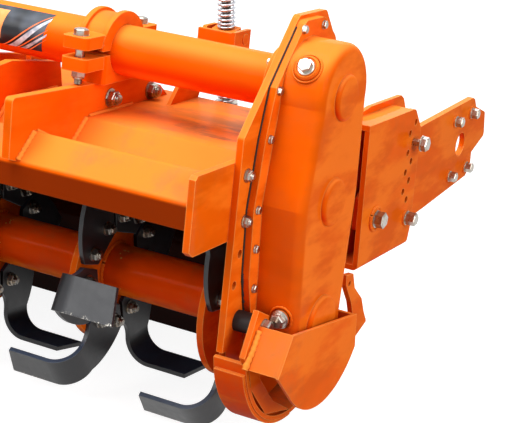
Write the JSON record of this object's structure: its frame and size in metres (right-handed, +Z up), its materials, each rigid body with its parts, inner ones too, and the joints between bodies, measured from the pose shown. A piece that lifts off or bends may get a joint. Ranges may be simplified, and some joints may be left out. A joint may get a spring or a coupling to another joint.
{
  "type": "rotary tiller with side gear drive",
  "caption": "Tractor-mounted rotary tiller: a hooded rotor with bent blades, driven through a side gear case, with clamped tubes, skids, arm brackets and a sprung trailing board.",
  "frame": {"origin": "on the floor, under the middle of the machine's outline", "axes": "+X towards the gear case side, +Y backwards, away from the tractor, +Z up"},
  "size_m": [2.073, 1.2676, 0.994],
  "materials": {
    "orange_paint": "glossy enamel",
    "blade_black": "semi-matt paint",
    "zinc": "zinc plated",
    "rubber_black": "matt",
    "shaft_steel": "machined and oiled"
  },
  "bodies": {
    "frame": {"side_plate_drive": "orange_paint", "side_plate_idle": "orange_paint", "deck_ends": "orange_paint", "deck": "orange_paint", "main_tube_drive": "orange_paint", "main_tube_idle": "orange_paint", "gearbox": "orange_paint", "gear_case": "orange_paint", "bearing_housing_idle": "orange_paint", "shaft_cover_idle": "orange_paint", "skid_drive": "orange_paint", "skid_idle": "orange_paint", "skid_spacers": "rubber_black", "case_guard": "orange_paint", "clamp_plate_drive": "orange_paint", "clamp_plate_idle": "orange_paint", "clamp_caps": "orange_paint", "clamp_base_drive": "orange_paint", "clamp_base_idle": "orange_paint", "hitch_ears_drive": "orange_paint", "hitch_ears_idle": "orange_paint", "mast": "orange_paint", "mast_braces": "orange_paint", "board_hinge_rod": "orange_paint", "spring_bracket_drive": "orange_paint", "spring_bracket_idle": "orange_paint", "arm_bracket_drive": "orange_paint", "arm_bracket_idle": "orange_paint", "roller_arm_drive": "orange_paint", "roller_arm_idle": "orange_paint", "arm_bolts_drive": "zinc", "arm_bolts_idle": "zinc"},
    "rotor": {"rotor_tube": "orange_paint", "rotor_flanges": "orange_paint", "blades_1": "blade_black", "blades_2": "blade_black", "blades_3": "blade_black", "blades_4": "blade_black", "blades_5": "blade_black", "blades_6": "blade_black", "blades_7": "blade_black", "blades_8": "blade_black"},
    "input_shaft": {"input_shaft": "shaft_steel"},
    "board": {"trailing_board": "orange_paint", "board_clevises": "orange_paint"},
    "spring_rods": {"spring_rod_drive": "zinc", "spring_rod_idle": "zinc"},
    "trunnions": {"trunnions": "orange_paint", "upper_springs": "zinc", "lower_spring_drive": "zinc", "lower_spring_idle": "zinc"}
  },
  "joints": [
    {"name": "rotor_spin", "type": "hinge", "parent": "frame", "child": "rotor", "pos_m": [-0.0285, -0.22777, 0.22565], "axis": [1, 0, 0], "continuous": true},
    {"name": "input_spin", "type": "hinge", "parent": "frame", "child": "input_shaft", "pos_m": [-0.0285, -0.44577, 0.61765], "axis": [0, -1, 0], "continuous": true},
    {"name": "board_hinge", "type": "hinge", "parent": "frame", "child": "board", "pos_m": [-0.0285, -0.00277, 0.47765], "axis": [1, 0, 0], "range_deg": [0, 30], "stiffness_Nm_per_rad": 400, "springref_deg": -28.65, "deforming": ["lower_spring_drive", "lower_spring_idle"]},
    {"name": "rods_swing", "type": "hinge", "parent": "board", "child": "spring_rods", "pos_m": [0.6685, 0.06423, 0.28565], "axis": [1, 0, 0], "range_deg": [-13.3, 1]},
    {"name": "trunnions_swing", "type": "hinge", "parent": "frame", "child": "trunnions", "pos_m": [0.6685, 0.00023, 0.62365], "axis": [1, 0, 0], "range_deg": [-1, 18.7]}
  ],
  "couplings": [
    {"joint": "input_spin", "follows": "rotor_spin", "ratio": 2.5},
    {"joint": "rods_swing", "follows": "board_hinge", "ratio": -0.4092},
    {"joint": "trunnions_swing", "follows": "board_hinge", "ratio": 0.5908}
  ]
}
